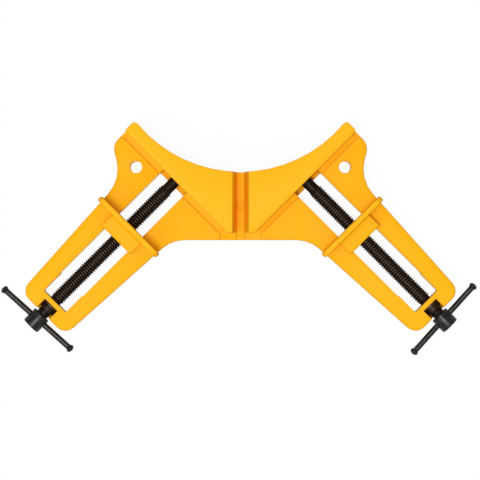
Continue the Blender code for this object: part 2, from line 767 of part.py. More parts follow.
def make_keeper(name, arm):
    """The plate under the rails that holds the jaw down, and the two screws that hold it."""
    half = WINDOW_HALF + RAIL - FIT
    end = KEEPER_START + KEEPER_LENGTH
    corners = [
        (KEEPER_START, -half, KEEPER_CORNER_R),
        (end, -half, KEEPER_CORNER_R),
        (end, half, KEEPER_CORNER_R),
        (KEEPER_START, half, KEEPER_CORNER_R),
    ]
    bottom = KEEPER_TOP - KEEPER_THICK
    plate = prism(f"{name}_keeper_plate", rounded(corners), bottom, KEEPER_TOP)
    rise = KEEPER_SCREW_HEAD_R - KEEPER_SCREW_R
    profile = [
        (0, KEEPER_TOP + KEEPER_SCREW_DEEP),
        (KEEPER_SCREW_R * 0.7, KEEPER_TOP + KEEPER_SCREW_DEEP),
        (KEEPER_SCREW_R, KEEPER_TOP + KEEPER_SCREW_DEEP - KEEPER_SCREW_R),
        (KEEPER_SCREW_R, bottom + rise + FIT),
        (KEEPER_SCREW_HEAD_R, bottom + FIT),
        (KEEPER_SCREW_HEAD_R, bottom),
        (0, bottom),
    ]
    seat = [
        (0, KEEPER_TOP + PAST),
        (KEEPER_SCREW_R + FIT, KEEPER_TOP + PAST),
        (KEEPER_SCREW_R + FIT, bottom + rise + FIT),
        (KEEPER_SCREW_HEAD_R + FIT, bottom + FIT),
        (KEEPER_SCREW_HEAD_R + FIT, bottom - PAST),
        (0, bottom - PAST),
    ]
    for k, side in enumerate((-1, 1)):
        place = (KEEPER_MIDDLE, side * KEEPER_SCREW_OUT, 0)
        sink = turned(f"{name}_countersink_{k + 1}", seat, SMALL_STEPS)
        sink.location = place
        cut(plate, sink, arm)
        screw = turned(f"{name}_keeper_screw_{k + 1}", profile, SMALL_STEPS)
        screw.location = place
        finish(screw, "zinc_steel", arm)
    finish(plate, "zinc_steel", arm)


def make_screw(name, axis):
    """The captive screw: tip with its clip groove, threaded stretch, collar, neck and spigot."""
    groove = TIP_R - CLIP_GROOVE
    edge = SCREW_EDGE
    collar_end = COLLAR_U + COLLAR_LENGTH
    profile = [
        (0, HUB_U + HUB_LENGTH - GAP),
        (SPIGOT_R - edge, HUB_U + HUB_LENGTH - GAP),
        (SPIGOT_R, HUB_U + HUB_LENGTH - GAP - edge),
        (SPIGOT_R, HUB_U - GAP),
        (NECK_R, HUB_U - GAP),
        (NECK_R, collar_end),
        (COLLAR_R - edge, collar_end),
        (COLLAR_R, collar_end - edge),
        (COLLAR_R, COLLAR_U),
        (NECK_R, COLLAR_U),
        (NECK_R, WINDOW_FOOT - GAP),
        (THREAD_R, WINDOW_FOOT - GAP - edge),
        (THREAD_R, THREAD_START + edge),
        (TIP_R, THREAD_START),
        (TIP_R, CLIP_U + CLIP_THICK + FIT),
        (groove, CLIP_U + CLIP_THICK + FIT),
        (groove, CLIP_U - FIT),
        (TIP_R, CLIP_U - FIT),
        (TIP_R, TIP_U + edge),
        (TIP_R - edge, TIP_U),
        (0, TIP_U),
    ]
    screw = turned(f"{name}_screw", profile)
    aim(screw, (1, 0, 0))
    cut(screw, bar_hole(name, "spigot"), axis)
    cut(screw, pin_hole(name, "spigot"), axis)
    return finish(screw, "black_oxide_steel", axis)


def bar_direction(name):
    """The bar lies across the screw, a little askew in its loose hole."""
    lean = BAR_LEAN if name == "right" else -BAR_LEAN
    return (math.sin(lean), -outward[name] * math.cos(lean), 0)


def bar_hole(name, owner):
    hole = rod(f"{name}_{owner}_bar_hole", BAR_HOLE_R, -2 * HUB_R, 2 * HUB_R)
    aim(hole, (0, 1, 0), (BAR_U, 0, 0))
    return hole


def pin_hole(name, owner):
    hole = rod(f"{name}_{owner}_pin_hole", HUB_PIN_R + FIT, -2 * HUB_R, 2 * HUB_R, SMALL_STEPS)
    aim(hole, (0, 1, 0), (HUB_U + HUB_LENGTH - HUB_PIN_INSET, 0, 0))
    return hole


def make_hub(name, axis):
    """The head of the screw: a turned hub on the spigot, cross-drilled for the bar and its pin."""
    bore = SPIGOT_R + FIT
    profile = [
        (bore, HUB_LENGTH),
        (HUB_R - HUB_EDGE, HUB_LENGTH),
        (HUB_R, HUB_LENGTH - HUB_EDGE),
        (HUB_R, HUB_EDGE),
        (HUB_R - HUB_EDGE, 0),
        (bore, 0),
    ]
    hub = turned(f"{name}_hub", profile)
    aim(hub, (1, 0, 0), (HUB_U, 0, 0))
    cut(hub, bar_hole(name, "hub"), axis)
    cut(hub, pin_hole(name, "hub"), axis)
    finish(hub, "black_oxide_steel", axis)
    pin = rod(f"{name}_hub_pin", HUB_PIN_R, -HUB_R + GAP, HUB_R - GAP, SMALL_STEPS)
    aim(pin, (0, 1, 0), (HUB_U + HUB_LENGTH - HUB_PIN_INSET, 0, 0))
    finish(pin, "zinc_steel", axis)


def make_washer(name, axis):
    profile = [
        (NECK_R + FIT, WASHER_THICK),
        (COLLAR_R, WASHER_THICK),
        (COLLAR_R, 0),
        (NECK_R + FIT, 0),
    ]
    washer = turned(f"{name}_thrust_washer", profile)
    aim(washer, (1, 0, 0), (WASHER_U, 0, 0))
    return finish(washer, "black_oxide_steel", axis)


def make_tip_clip(name, axis):
    """The open clip that snaps into the groove behind the fence and takes the clamping thrust."""
    inner = TIP_R - CLIP_GROOVE + FIT
    outer = inner + CLIP_WIDTH
    start = math.radians(-90) + CLIP_MOUTH / 2
    sweep = math.radians(360) - CLIP_MOUTH
    outline = []
    for radius, order in (
        (outer, range(CLIP_STEPS + 1)),
        (inner, range(CLIP_STEPS, -1, -1)),
    ):
        for k in order:
            angle = start + sweep * k / CLIP_STEPS
            outline.append((radius * math.cos(angle), radius * math.sin(angle)))
    clip = prism(f"{name}_tip_clip", outline, 0, CLIP_THICK)
    clip.rotation_euler = (math.radians(90), 0, math.radians(90))
    clip.location = (CLIP_U, 0, 0)
    return finish(clip, "zinc_steel", axis)


def make_bar(name, axis):
    """The tommy bar with its forged flare at one end, and the ball end pressed on the other."""
    half = BAR_LENGTH / 2
    seam = half - FLARE_LENGTH
    flare = [
        (FLARE_R * 0.7, half),
        (FLARE_R, half - FLARE_LENGTH / 6),
        (FLARE_R, half - FLARE_LENGTH / 3),
        (BAR_R, seam),
    ]
    shaft = [
        (0, seam + BALL_SPIGOT_LENGTH - FIT),
        (BALL_SPIGOT_R, seam + BALL_SPIGOT_LENGTH - FIT),
        (BALL_SPIGOT_R, seam - FIT),
        (BAR_R, seam - FIT),
    ]
    forged = [(radius, -height) for radius, height in reversed(flare)] + [(0, -half)]
    bar = turned(f"{name}_tommy_bar", shaft + forged, SMALL_STEPS)
    aim(bar, bar_direction(name), (BAR_U, 0, 0))
    finish(bar, "black_oxide_steel", axis)
    bore = BALL_SPIGOT_R + FIT
    socket = [(bore, seam), (bore, seam + BALL_SPIGOT_LENGTH), (0, seam + BALL_SPIGOT_LENGTH)]
    ball = turned(f"{name}_bar_ball", [(0, half)] + flare + socket, SMALL_STEPS)
    aim(ball, bar_direction(name), (BAR_U, 0, 0))
    finish(ball, "black_oxide_steel", axis)


clear_scene()
clamp = new_collection("corner_clamp")
cutters = new_collection("cutters", hidden=True)
materials = {name: new_material(name) for name in FINISHES}

# The origin is on the bench, under the middle of the whole clamp.
reach = (HUB_U + HUB_LENGTH - EAR_OUT) / 2
origin = new_empty("apex", location=(-reach, -reach, 0))
arms = {
    "left": new_empty("left_arm", origin, (0, -AXIS_OUT, 0)),
    "right": new_empty("right_arm", origin, (-AXIS_OUT, 0, 0), math.radians(90)),
}
outward = {"left": -1, "right": 1}

make_corner_frame(origin)
for side, arm in arms.items():
    screw_axis = new_empty(f"{side}_screw_axis", arm, (0, 0, AXIS_UP))
    make_jaw(side, arm)
    make_keeper(side, arm)
    make_screw(side, screw_axis)
    make_washer(side, screw_axis)
    make_tip_clip(side, screw_axis)
    make_hub(side, screw_axis)
    make_bar(side, screw_axis)
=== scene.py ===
"""Looks of a corner clamp: a yellow powder-coated casting with two jaws, and black-oxide screws.

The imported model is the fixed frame, and every place here is worked out from it. In each arm's own
axes u runs along the screw from the fence, v across it and z up from the bench.
"""

import json
import math

import bmesh
import bpy
import numpy as np
from bpy.props import (
    FloatProperty,
    FloatVectorProperty,
    IntProperty,
    PointerProperty,
    StringProperty,
)
from mathutils import Matrix, Vector


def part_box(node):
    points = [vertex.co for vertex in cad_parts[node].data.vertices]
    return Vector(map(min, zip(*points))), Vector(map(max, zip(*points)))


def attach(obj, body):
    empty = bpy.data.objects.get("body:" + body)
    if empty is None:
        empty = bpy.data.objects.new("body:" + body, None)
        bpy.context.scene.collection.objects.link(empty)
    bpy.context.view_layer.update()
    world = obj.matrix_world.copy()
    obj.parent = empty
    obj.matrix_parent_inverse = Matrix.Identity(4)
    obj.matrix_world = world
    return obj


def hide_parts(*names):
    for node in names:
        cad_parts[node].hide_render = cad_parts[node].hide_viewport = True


bl_info = {
    "name": "Corner Clamp",
    "version": (1, 0, 0),
    "blender": (4, 5, 0),
    "location": "View3D > Sidebar > Corner Clamp",
    "description": "Dresses the packed corner clamp and sets its stage",
    "category": "Object",
}

MM = 0.001
SIDES = ("left", "right")

UP = Vector((0, 0, 1))
PHOTO_RIGHT = Vector((-1, 1, 0)).normalized()
PHOTO_UP = Vector((-1, -1, 0)).normalized()

# Small clearances: between two pieces, and round a pin or in a groove
GAP = 0.3 * MM
FIT = 0.2 * MM

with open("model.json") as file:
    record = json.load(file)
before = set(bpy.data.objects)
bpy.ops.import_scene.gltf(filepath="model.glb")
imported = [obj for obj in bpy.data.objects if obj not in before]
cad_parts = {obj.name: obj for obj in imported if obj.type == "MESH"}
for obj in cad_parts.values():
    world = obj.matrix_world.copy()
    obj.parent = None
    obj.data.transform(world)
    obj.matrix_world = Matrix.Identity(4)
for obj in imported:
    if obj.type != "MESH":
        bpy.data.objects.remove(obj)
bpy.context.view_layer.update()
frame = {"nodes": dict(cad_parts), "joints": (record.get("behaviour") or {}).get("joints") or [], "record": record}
mounts = {mount["name"]: mount for mount in frame["record"]["mounts"]}
joints = {joint["name"]: joint for joint in frame["joints"]}


# Places read from the frame

def arm_matrix(side):
    """Turns an arm's own axes into the frame's: u along the screw, v across it, z up."""
    along = Vector(joints[f"{side}_screw_turn"]["axis"])
    fence = Vector(mounts[f"{side}_fence_face"]["pos_m"])
    on_axis = Vector(joints[f"{side}_screw_turn"]["pos_m"])
    start = on_axis + along * (fence - on_axis).dot(along)
    start.z = 0
    turn = Matrix((along, UP.cross(along), UP)).transposed().to_4x4()
    return Matrix.Translation(start) @ turn


ARMS = {side: arm_matrix(side) for side in SIDES}
INTO_ARM = {side: ARMS[side].inverted() for side in SIDES}


def arm_box(side, node):
    """Lowest and highest (u, v, z) of one of an arm's nodes."""
    corners = [INTO_ARM[side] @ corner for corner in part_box(f"{side}_{node}")]
    return tuple(Vector(pick(c[k] for c in corners) for k in range(3)) for pick in (min, max))


AXIS_Z = joints["left_screw_turn"]["pos_m"][2]
SCREW_LOW, SCREW_HIGH = arm_box("left", "screw")
HUB_LOW, HUB_HIGH = arm_box("left", "hub")
WASHER_LOW, WASHER_HIGH = arm_box("left", "thrust_washer")
CLIP_LOW, CLIP_HIGH = arm_box("left", "tip_clip")


# Settings

class ClampFinishes(bpy.types.PropertyGroup):
    coat_colour: StringProperty(
        name="Coat colour", description="The powder coat, as sRGB hex", default="#FDB816"
    )
    # Painted shade: this deeper colour stands for the shade on the low surfaces
    coat_shaded: StringProperty(
        name="Coat colour, deep", description="Where the coat is thick", default="#FCB407"
    )
    # Painted shade: this darker orange goes on edges and in corners
    coat_edge_shade: StringProperty(
        name="Coat colour, thin",
        description="On edges, where the coat pulls thin",
        default="#D9941C",
    )
    # How far the painted edge shade reaches from an edge
    edge_width: FloatProperty(
        name="Edge width", description="Where the coat is thin", default=0.8 * MM, unit="LENGTH"
    )
    pebble: FloatProperty(
        name="Pebble", description="Width of the coat's pebbles", default=1.1 * MM, unit="LENGTH"
    )
    screw_colour: StringProperty(
        name="Screw colour", description="The screws' black oxide", default="#1A120B"
    )
    # Paler colour for random patches of wear and for the painted highlight on the thread crests
    screw_highlight_and_wear: StringProperty(
        name="Screw colour, worn", description="Rubbed, as on the crests", default="#4E4034"
    )
    handle_colour: StringProperty(
        name="Handle colour", description="The hubs' and bars' black oxide", default="#1B1A19"
    )
    handle_worn: StringProperty(
        name="Handle colour, worn", description="Where it is rubbed", default="#302E2C"
    )
    zinc_colour: StringProperty(
        name="Zinc colour", description="The small steel pieces", default="#B9BCBE"
    )
    zinc_stain: StringProperty(
        name="Zinc colour, stained", description="Where the bath stained it", default="#A8A89E"
    )


class ClampSizes(bpy.types.PropertyGroup):
    thread_pitch: FloatProperty(
        name="Thread pitch",
        description="How far the jaw moves in one turn",
        default=abs(frame["record"]["behaviour"]["couplings"][0]["ratio"]) * 2 * math.pi,
        unit="LENGTH",
        precision=6,
    )
    thread_depth: FloatProperty(
        name="Thread depth",
        description="From crest to root",
        default=0.8 * MM,
        unit="LENGTH",
        precision=6,
    )
    thread_radius: FloatProperty(
        name="Thread radius", description="To the crest", default=4.3 * MM, unit="LENGTH"
    )
    thread_start: FloatProperty(
        name="Thread start", description="From the fence", default=7.2 * MM, unit="LENGTH"
    )
    thread_stop: FloatProperty(
        name="Thread stop", description="Before the washer", default=4.1 * MM, unit="LENGTH"
    )
    tip_radius: FloatProperty(
        name="Tip radius", description="The screw's plain end", default=3.4 * MM, unit="LENGTH"
    )
    groove_radius: FloatProperty(
        name="Groove radius", description="Under the tip's clip", default=2.6 * MM, unit="LENGTH"
    )
    collar_length: FloatProperty(
        name="Collar length", description="Behind the washer", default=3.0 * MM, unit="LENGTH"
    )
    neck_radius: FloatProperty(
        name="Neck radius", description="Between thread and hub", default=3.75 * MM, unit="LENGTH"
    )
    spigot_radius: FloatProperty(
        name="Spigot radius", description="Inside the hub", default=3.2 * MM, unit="LENGTH"
    )
    bar_radius: FloatProperty(
        name="Bar radius", description="The tommy bar", default=1.75 * MM, unit="LENGTH"
    )
    bar_length: FloatProperty(
        name="Bar length", description="Over both its ends", default=56 * MM, unit="LENGTH"
    )
    bar_hole_radius: FloatProperty(
        name="Bar hole radius", description="Through the hub", default=2.25 * MM, unit="LENGTH"
    )
    bar_inset: FloatProperty(
        name="Bar inset", description="From the hub's start", default=3.8 * MM, unit="LENGTH"
    )
    flare_radius: FloatProperty(
        name="Flare radius", description="The bar's ends", default=2.5 * MM, unit="LENGTH"
    )
    flare_length: FloatProperty(
        name="Flare length", description="The bar's ends", default=3.4 * MM, unit="LENGTH"
    )
    flare_round: FloatProperty(
        name="Flare round",
        description="The bar's ends, rounded part",
        default=1.7 * MM,
        unit="LENGTH",
    )
    cast_edge: FloatProperty(
        name="Cast edge",
        description="Radius of the casting's edges",
        default=0.5 * MM,
        unit="LENGTH",
    )
    pad_height: FloatProperty(
        name="Pad height", description="Top of the arms", default=15 * MM, unit="LENGTH"
    )
    # Below this height the colour deepens towards the pads as painted shade
    plain_coat_height: FloatProperty(
        name="Plain coat height",
        description="Above it the coat has its plain colour",
        default=30 * MM,
        unit="LENGTH",
    )
    turned_columns: IntProperty(
        name="Columns", description="Points round a turned piece", default=64
    )
    thread_columns: IntProperty(
        name="Thread columns", description="Points round a screw", default=48
    )
    pin_columns: IntProperty(name="Pin columns", description="Points round a pin", default=24)


class ClampStage(bpy.types.PropertyGroup):
    camera_height: FloatProperty(
        name="Camera height", description="Camera above the bench", default=2.2, unit="LENGTH"
    )
    camera_aim: FloatVectorProperty(
        name="Camera aim",
        description="From the corner where the fences' faces meet",
        default=(-2.47 * MM, -2.9 * MM, 0),
        subtype="TRANSLATION",
        precision=6,
    )
    view_width: FloatProperty(
        name="View width",
        description="Width of the view at the top of the arms",
        default=0.597 * 480 * MM,
        unit="LENGTH",
    )
    overhead_power: FloatProperty(
        name="Overhead lamp", description="Its power", default=45, unit="POWER"
    )
    key_power: FloatProperty(
        name="Key lamp", description="Its power", default=8, unit="POWER"
    )
    sky_strength: FloatProperty(
        name="Sky", description="Strength of the light from all round", default=0.5
    )


class ClampSettings(bpy.types.PropertyGroup):
    finishes: PointerProperty(type=ClampFinishes)
    sizes: PointerProperty(type=ClampSizes)
    stage: PointerProperty(type=ClampStage)


# Materials

def linear(code):
    """An sRGB hex colour as the linear colour that the shaders take."""
    parts = [int(code.lstrip("#")[k : k + 2], 16) / 255 for k in (0, 2, 4)]
    return (*(p / 12.92 if p <= 0.04045 else ((p + 0.055) / 1.055) ** 2.4 for p in parts), 1)


def add_node(tree, kind, inputs=None, **settings):
    """Adds a node, sets its properties, and sets or links each input by its name or number."""
    node = tree.nodes.new(kind)
    for name, value in settings.items():
        setattr(node, name, value)
    for name, value in (inputs or {}).items():
        if isinstance(value, bpy.types.NodeSocket):
            tree.links.new(value, node.inputs[name])
        else:
            node.inputs[name].default_value = value
    return node


def blank_material(name):
    material = bpy.data.materials.new(name)
    material.use_nodes = True
    material.node_tree.nodes.clear()
    return material, material.node_tree


# The range in which most of a noise lies, as a Map Range node's inputs
NOISE_RANGE = {"From Min": 0.35, "From Max": 0.65}

# A colour Mix node's inputs and its output, by number
FACTOR, FIRST, SECOND, MIXED = 0, 6, 7, 2


def near_edge(tree, width):
    """One on an edge or in a corner, falling to nothing a width away from it. It is worked out
    from how far the normal turns when the edges are rounded."""
    normal = add_node(tree, "ShaderNodeNewGeometry").outputs["Normal"]
    rounded = add_node(tree, "ShaderNodeBevel", {"Radius": width}, samples=8).outputs["Normal"]
    turned = add_node(
        tree, "ShaderNodeVectorMath", {0: normal, 1: rounded}, operation="DISTANCE"
    ).outputs["Value"]
    share = add_node(
        tree, "ShaderNodeMapRange", {"Value": turned, "From Min": 0.05, "From Max": 0.55}
    )
    return share.outputs["Result"]


def powder_coat(settings):
    """Powder coat over die-cast aluminium, baked on: an even, slightly pebbled semi-gloss skin.
    Painted shade makes it darker on edges and in corners, and deeper in colour on the low surfaces, with a broad
    random mottle."""
    finishes, sizes = settings.finishes, settings.sizes
    material, tree = blank_material("powder_coated_die_cast_aluminium")
    place = add_node(tree, "ShaderNodeTexCoord").outputs["Object"]

    # Painted shade: below the plain coat height the colour deepens towards the pads, and a broad random mottle
    # varies it
    height = add_node(tree, "ShaderNodeSeparateXYZ", {0: place}).outputs["Z"]
    heights = {"From Min": sizes.pad_height, "From Max": sizes.plain_coat_height}
    low = add_node(
        tree, "ShaderNodeMapRange", {"Value": height, **heights, "To Min": 1, "To Max": 0}
    ).outputs["Result"]
    broad = add_node(
        tree, "ShaderNodeTexNoise", {"Vector": place, "Scale": 1 / (32 * MM), "Detail": 3}
    ).outputs["Fac"]
    broad = add_node(
        tree,
        "ShaderNodeMapRange",
        {"Value": broad, **NOISE_RANGE, "To Min": -0.12, "To Max": 0.12},
    ).outputs["Result"]
    shaded_and_mottled = add_node(
        tree, "ShaderNodeMath", {0: low, 1: broad}, operation="ADD", use_clamp=True
    ).outputs[0]
    colour = add_node(
        tree,
        "ShaderNodeMix",
        {
            FACTOR: shaded_and_mottled,
            FIRST: linear(finishes.coat_colour),
            SECOND: linear(finishes.coat_shaded),
        },
        data_type="RGBA",
    ).outputs[MIXED]
    # Painted shade on edges and in corners, darker orange there
    edge_shaded = near_edge(tree, finishes.edge_width)
    colour = add_node(
        tree,
        "ShaderNodeMix",
        {FACTOR: edge_shaded, FIRST: colour, SECOND: linear(finishes.coat_edge_shade)},
        data_type="RGBA",
    ).outputs[MIXED]

    pebble = add_node(
        tree,
        "ShaderNodeTexNoise",
        {"Vector": place, "Scale": 1 / finishes.pebble, "Roughness": 0.45},
    ).outputs["Fac"]
    # The grain on the pebbles is drawn as coarse as it needs to show
    grain = add_node(
        tree, "ShaderNodeTexNoise", {"Vector": place, "Scale": 3.5 / finishes.pebble, "Detail": 1}
    ).outputs["Fac"]
    bump = add_node(
        tree, "ShaderNodeBump", {"Height": pebble, "Strength": 0.22, "Distance": 0.06 * MM}
    ).outputs["Normal"]
    bump = add_node(
        tree,
        "ShaderNodeBump",
        {"Height": grain, "Strength": 0.15, "Distance": 0.02 * MM, "Normal": bump},
    ).outputs["Normal"]

    gloss = add_node(
        tree, "ShaderNodeTexNoise", {"Vector": place, "Scale": 1 / (9 * MM)}
    ).outputs["Fac"]
    roughness = add_node(
        tree,
        "ShaderNodeMapRange",
        {"Value": gloss, **NOISE_RANGE, "To Min": 0.46, "To Max": 0.52},
    ).outputs["Result"]
    shader = add_node(
        tree,
        "ShaderNodeBsdfPrincipled",
        {
            "Base Color": colour,
            "Roughness": roughness,
            "IOR": 1.5,
            "Specular IOR Level": 0.08,
            "Normal": bump,
        },
    )
    add_node(tree, "ShaderNodeOutputMaterial", {"Surface": shader.outputs[0]})
    return material


def dark_steel(name, base, paler, roughness, gloss, crests=0.0):
    """Black-oxide steel: a dark conversion layer, so slight that it keeps the metal's tool marks. It is paler in
    random patches of wear, and, by the share given as crests, where the surface stands out: a painted highlight on
    the thread crests."""
    material, tree = blank_material(name)
    place = add_node(tree, "ShaderNodeTexCoord").outputs["Object"]

    patches = add_node(
        tree,
        "ShaderNodeTexNoise",
        {"Vector": place, "Scale": 1 / (3 * MM), "Detail": 4, "Roughness": 0.6},
    ).outputs["Fac"]
    patches = add_node(
        tree, "ShaderNodeMapRange", {"Value": patches, **NOISE_RANGE, "To Max": 1 - crests}
    ).outputs["Result"]
    # Painted highlight: where the surface stands out, on the thread crests, the colour is paler
    out = add_node(tree, "ShaderNodeNewGeometry").outputs["Pointiness"]
    out = add_node(
        tree,
        "ShaderNodeMapRange",
        {"Value": out, "From Min": 0.52, "From Max": 0.56, "To Max": crests},
    ).outputs["Result"]
    paled = add_node(tree, "ShaderNodeMath", {0: out, 1: patches}).outputs[0]
    colour = add_node(
        tree,
        "ShaderNodeMix",
        {FACTOR: paled, FIRST: linear(base), SECOND: linear(paler)},
        data_type="RGBA",
    ).outputs[MIXED]

    marks = add_node(
        tree,
        "ShaderNodeTexNoise",
        {"Vector": place, "Scale": 1 / (0.5 * MM), "Detail": 3, "Roughness": 0.6},
    ).outputs["Fac"]
    bump = add_node(
        tree, "ShaderNodeBump", {"Height": marks, "Strength": 0.3, "Distance": 0.03 * MM}
    ).outputs["Normal"]
    uneven = add_node(
        tree,
        "ShaderNodeMapRange",
        {
            "Value": marks,
            **NOISE_RANGE,
            "To Min": roughness - 0.06,
            "To Max": roughness + 0.08,
        },
    ).outputs["Result"]
    shader = add_node(
        tree,
        "ShaderNodeBsdfPrincipled",
        {
            "Base Color": colour,
            "Metallic": 0.6,
            "Specular IOR Level": gloss,
            "Roughness": uneven,
            "Normal": bump,
        },
    )
    add_node(tree, "ShaderNodeOutputMaterial", {"Surface": shader.outputs[0]})
    return material


def screw_steel(settings):
    """The screws are oiled, and browner than the handles, and their crests carry a painted highlight."""
    base, paler = settings.finishes.screw_colour, settings.finishes.screw_highlight_and_wear
    return dark_steel("oiled_black_oxide_screw_steel", base, paler, 0.45, 0.2, 0.85)


def handle_steel(settings):
    """The turned hubs and bars are smoother and greyer."""
    base, paler = settings.finishes.handle_colour, settings.finishes.handle_worn
    return dark_steel("black_oxide_turned_steel", base, paler, 0.34, 0.5)


def zinc_steel(settings):
    """Bright zinc-plated steel, faintly blue and a little uneven where the bath stained it."""
    material, tree = blank_material("zinc_plated_steel")
    place = add_node(tree, "ShaderNodeTexCoord").outputs["Object"]
    stain = add_node(
        tree, "ShaderNodeTexNoise", {"Vector": place, "Scale": 1 / (2.5 * MM), "Detail": 4}
    ).outputs["Fac"]
    stain = add_node(
        tree, "ShaderNodeMapRange", {"Value": stain, **NOISE_RANGE}
    ).outputs["Result"]
    colour = add_node(
        tree,
        "ShaderNodeMix",
        {
            FACTOR: stain,
            FIRST: linear(settings.finishes.zinc_colour),
            SECOND: linear(settings.finishes.zinc_stain),
        },
        data_type="RGBA",
    ).outputs[MIXED]
    roughness = add_node(
        tree,
        "ShaderNodeMapRange",
        {"Value": stain, **NOISE_RANGE, "To Min": 0.28, "To Max": 0.4},
    ).outputs["Result"]
    shader = add_node(
        tree,
        "ShaderNodeBsdfPrincipled",
        {"Base Color": colour, "Metallic": 1.0, "Roughness": roughness},
    )
    add_node(tree, "ShaderNodeOutputMaterial", {"Surface": shader.outputs[0]})
    return material


# The record's material slots, and what makes each one's finish
FINISHES = {
    "powder_coat": powder_coat,
    "screw_black": screw_steel,
    "handle_black": handle_steel,
    "zinc": zinc_steel,
}
materials = {}


def finish_of(slot):
    """Each finish is made once, when the first piece asks for it."""
    if slot not in materials:
        materials[slot] = FINISHES[slot](bpy.context.scene.corner_clamp)
    return materials[slot]


# Meshes

def new_piece(mesh, body, slot, *nodes):
    """Puts a finished mesh into the scene under its own name, on its body, with its slot's
    finish, in place of the CAD nodes that it stands for."""
    piece = bpy.data.objects.new(mesh.name, mesh)
    bpy.context.scene.collection.objects.link(piece)
    mesh.materials.clear()
    mesh.materials.append(finish_of(slot))
    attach(piece, body)
    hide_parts(*nodes)
    return piece


def grid_mesh(name, points, around=True):
    """A mesh from a grid of points, rows by columns. around joins the last column to the first.
    A row that lies on one point is a pole, and merging its doubles closes it."""
    rows, columns = points.shape[:2]
    index = np.arange(rows * columns).reshape(rows, columns)
    right = np.roll(index, -1, axis=1) if around else index[:, 1:]
    left = index if around else index[:, :-1]
    quads = np.stack([left[:-1], right[:-1], right[1:], left[1:]], axis=-1).reshape(-1, 4)
    mesh = bpy.data.meshes.new(name)
    mesh.from_pydata(points.reshape(-1, 3).tolist(), [], quads.tolist())
    return welded(mesh)


def welded(mesh, distance=1e-7):
    """Merges a mesh's doubles, drops what that leaves without size, and turns faces outwards."""
    shape = bmesh.new()
    shape.from_mesh(mesh)
    bmesh.ops.remove_doubles(shape, verts=shape.verts, dist=distance)
    bmesh.ops.dissolve_degenerate(shape, edges=shape.edges, dist=distance)
    bmesh.ops.recalc_face_normals(shape, faces=shape.faces)
    shape.to_mesh(mesh)
    shape.free()
    return mesh


def softened(profile, steps=4):
    """A profile of (along, radius, arc) points with each corner turned into an arc of that
    radius, which meets both its sides at radius / tan(half the corner's angle) from the corner.
    It takes up to 0.45 of either side."""
    points, arcs = np.array(profile)[:, :2], [row[2] for row in profile]
    out = [points[0]]
    for k in range(1, len(points) - 1):
        corner, arc = points[k], arcs[k]
        before, after = points[k - 1] - corner, points[k + 1] - corner
        lengths = np.linalg.norm(before), np.linalg.norm(after)
        before, after = before / lengths[0], after / lengths[1]
        half = math.acos(np.clip(before @ after, -1, 1)) / 2
        if arc == 0 or half > math.radians(88):
            out.append(corner)
            continue
        reach = min(arc / math.tan(half), 0.45 * min(lengths))
        arc = reach * math.tan(half)
        bisector = (before + after) / np.linalg.norm(before + after)
        middle = corner + bisector * arc / math.sin(half)
        start, end = corner + before * reach - middle, corner + after * reach - middle
        angle = math.acos(np.clip(start @ end / arc**2, -1, 1))
        for step in range(steps + 1):
            t = step / steps
            turned = math.sin((1 - t) * angle) * start + math.sin(t * angle) * end
            out.append(middle + turned / math.sin(angle))
    return np.array(out + [points[-1]])


def turned_points(profile, columns, seam=False):
    """Turns (along, radius) points about the u axis: v is the radius times the angle's cosine,
    and z its sine. seam repeats the first column after a full turn."""
    angle = np.linspace(0, 2 * np.pi, columns + 1)[: columns + seam]
    along, radius = profile[:, :1], profile[:, 1:]
    return np.stack(
        [
            np.repeat(along, len(angle), axis=1),
            radius * np.cos(angle),
            radius * np.sin(angle),
        ],
        axis=-1,
    )


def on_axis(side, mesh):
    """Moves a mesh drawn about the u axis onto an arm's screw axis."""
    mesh.transform(ARMS[side] @ Matrix.Translation((0, 0, AXIS_Z)))
    return mesh


def smooth(mesh, angle=35):
    mesh.shade_smooth()
    mesh.set_sharp_from_angle(angle=math.radians(angle))
    return mesh


def cast_piece(name, body, node, radius):
    """A copy of a casting's mesh, with its loose triangles merged into whole flat faces, its
    edges rounded and a powder coat on it."""
    mesh = frame["nodes"][node].data.copy()
    mesh.name = name
    shape = bmesh.new()
    shape.from_mesh(mesh)
    bmesh.ops.remove_doubles(shape, verts=shape.verts, dist=2e-6)
    bmesh.ops.dissolve_limit(
        shape, angle_limit=math.radians(1.0), verts=shape.verts, edges=shape.edges
    )
    shape.to_mesh(mesh)
    shape.free()
    piece = new_piece(smooth(mesh), body, "powder_coat", node)
    bevel = piece.modifiers.new("Cast edges", "BEVEL")
    bevel.width = radius
    bevel.segments = 3
    bevel.limit_method = "ANGLE"
    bevel.angle_limit = math.radians(40)
    bevel.miter_outer = "MITER_ARC"
    bevel.use_clamp_overlap = True
    bevel.harden_normals = True
    return piece


# Pieces

class CLAMP_OT_corner_casting(bpy.types.Operator):
    """Dress the corner casting: rounded cast edges and a powder coat"""

    bl_idname = "clamp.corner_casting"
    bl_label = "Corner casting"

    def execute(self, context):
        radius = context.scene.corner_clamp.sizes.cast_edge
        cast_piece("corner_casting", "frame", "corner_frame", radius)
        return {"FINISHED"}


class CLAMP_OT_jaws(bpy.types.Operator):
    """Dress both jaws: rounded cast edges and a powder coat"""

    bl_idname = "clamp.jaws"
    bl_label = "Jaws"

    def execute(self, context):
        radius = context.scene.corner_clamp.sizes.cast_edge
        for side in SIDES:
            cast_piece(f"{side}_jaw_casting", f"{side}_jaw", f"{side}_jaw", radius)
        return {"FINISHED"}


# One pitch of the thread, as shares of the pitch and of the depth: a flat crest, a straight
# flank, a narrow flat root and a flank up to the next crest
THREAD_PHASES = np.array([0.0, 0.15, 0.25, 0.35, 0.44, 0.56, 0.65, 0.75, 0.85])
THREAD_CORNERS = [0, 0.15, 0.44, 0.56, 0.85, 1], [1, 1, 0, 0, 1, 1]

# The thread grows to its full depth in this share of a pitch at either end
THREAD_RUNOUT = 0.8


